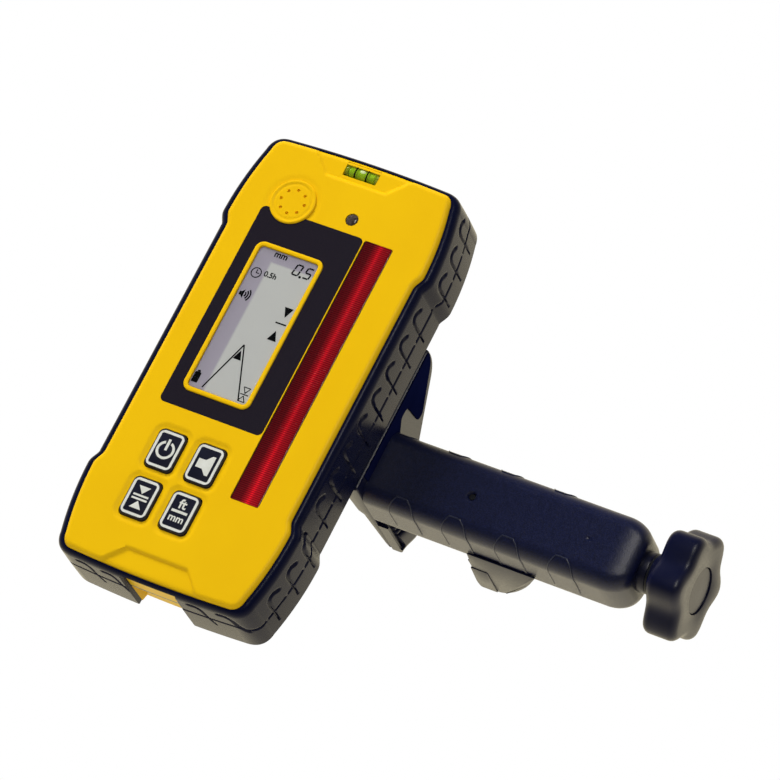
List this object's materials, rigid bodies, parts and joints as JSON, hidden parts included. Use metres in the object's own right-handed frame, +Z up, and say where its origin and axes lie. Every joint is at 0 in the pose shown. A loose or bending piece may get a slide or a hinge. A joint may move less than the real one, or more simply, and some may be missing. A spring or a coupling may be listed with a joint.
{
  "type": "laser receiver",
  "caption": "Handheld laser level receiver in a rubber boot, with a screen, keys and a long beam window, on a screw clamp that grips a levelling staff.",
  "frame": {"origin": "Where a staff's edge sits: on the fixed jaw's grip face, on the handle's back face, at the height of the clamp screw.", "axes": "+X runs along the handle from the fixed jaw to the knob, +Y points back from the screen towards the staff, +Z runs up the receiver."},
  "size_m": [0.207, 0.0798, 0.1724],
  "materials": {
    "yellow_plastic": "satin moulded yellow plastic",
    "black_rubber": "matt black moulded rubber",
    "black_plastic": "fine-grained black moulded plastic",
    "grip_plastic": "speckled soft-touch black grip",
    "dark_panel": "dark printed film panel",
    "clear_lens": "clear acrylic",
    "display": "grey reflective liquid-crystal display",
    "red_filter": "ribbed red filter plastic",
    "sensor_black": "dark sensor moulding",
    "circuit_board": "green solder mask",
    "silicone": "grey silicone",
    "key_rubber": "matt black key with pale printing",
    "lamp_dark": "smoked lens",
    "vial_clear": "clear acrylic tube",
    "vial_green": "green vial fluid",
    "cell_wrap": "plain wrapped battery cell",
    "nickel": "nickel-plated spring metal",
    "steel": "zinc-plated steel",
    "brass": "turned brass"
  },
  "bodies": {
    "receiver": {"front_shell": "yellow_plastic", "rear_shell": "yellow_plastic", "shell_gasket": "silicone", "rubber_boot": "black_rubber", "display_panel": "dark_panel", "screen_frame": "yellow_plastic", "screen_lens": "clear_lens", "screen_module": "display", "beam_window": "red_filter", "light_baffle": "black_plastic", "photodiodes": "sensor_black", "main_board": "circuit_board", "board_screws": "steel", "keypad_mat": "silicone", "buzzer": "black_plastic", "lamp_lens": "lamp_dark", "lamp_led": "clear_lens", "vial_tube": "vial_clear", "vial_plugs": "vial_green", "vial_fluid": "vial_green", "battery_cells": "cell_wrap", "battery_contacts": "nickel", "door_pin": "steel", "case_screws": "steel", "thread_inserts": "brass", "bracket_screws": "steel", "clamp_bracket": "black_plastic", "fixed_jaw_pad": "black_rubber", "handle_core": "black_plastic", "handle_grip": "grip_plastic", "grip_screw": "steel", "end_collar": "black_plastic"},
    "power_key": {"key_power": "key_rubber"},
    "volume_key": {"key_volume": "key_rubber"},
    "precision_key": {"key_precision": "key_rubber"},
    "units_key": {"key_units": "key_rubber"},
    "door": {"battery_door": "yellow_plastic"},
    "jaw": {"moving_jaw": "black_plastic", "moving_jaw_pad": "black_rubber", "jaw_nut": "brass"},
    "knob_screw": {"knob": "black_plastic", "knob_cap": "black_plastic", "clamp_screw": "steel", "screw_clip": "steel", "thrust_washer": "steel"}
  },
  "joints": [
    {"name": "power_press", "type": "slide", "parent": "receiver", "child": "power_key", "axis": [0, 1, 0], "range_m": [0, 0.0008], "stiffness_N_per_m": 1500},
    {"name": "volume_press", "type": "slide", "parent": "receiver", "child": "volume_key", "axis": [0, 1, 0], "range_m": [0, 0.0008], "stiffness_N_per_m": 1500},
    {"name": "precision_press", "type": "slide", "parent": "receiver", "child": "precision_key", "axis": [0, 1, 0], "range_m": [0, 0.0008], "stiffness_N_per_m": 1500},
    {"name": "units_press", "type": "slide", "parent": "receiver", "child": "units_key", "axis": [0, 1, 0], "range_m": [0, 0.0008], "stiffness_N_per_m": 1500},
    {"name": "door_swing", "type": "hinge", "parent": "receiver", "child": "door", "pos_m": [-0.0447, -0.0313, -0.0174], "axis": [1, 0, 0], "range_deg": [0, 110]},
    {"name": "knob_turn", "type": "hinge", "parent": "receiver", "child": "knob_screw", "pos_m": [0.1, -0.0125, 0], "axis": [1, 0, 0], "range_deg": [-2400, 3600]},
    {"name": "jaw_slide", "type": "slide", "parent": "receiver", "child": "jaw", "axis": [1, 0, 0], "range_m": [-0.02, 0.03]}
  ],
  "couplings": [
    {"joint": "jaw_slide", "follows": "knob_turn", "m_per_rad": 0.00047746}
  ]
}
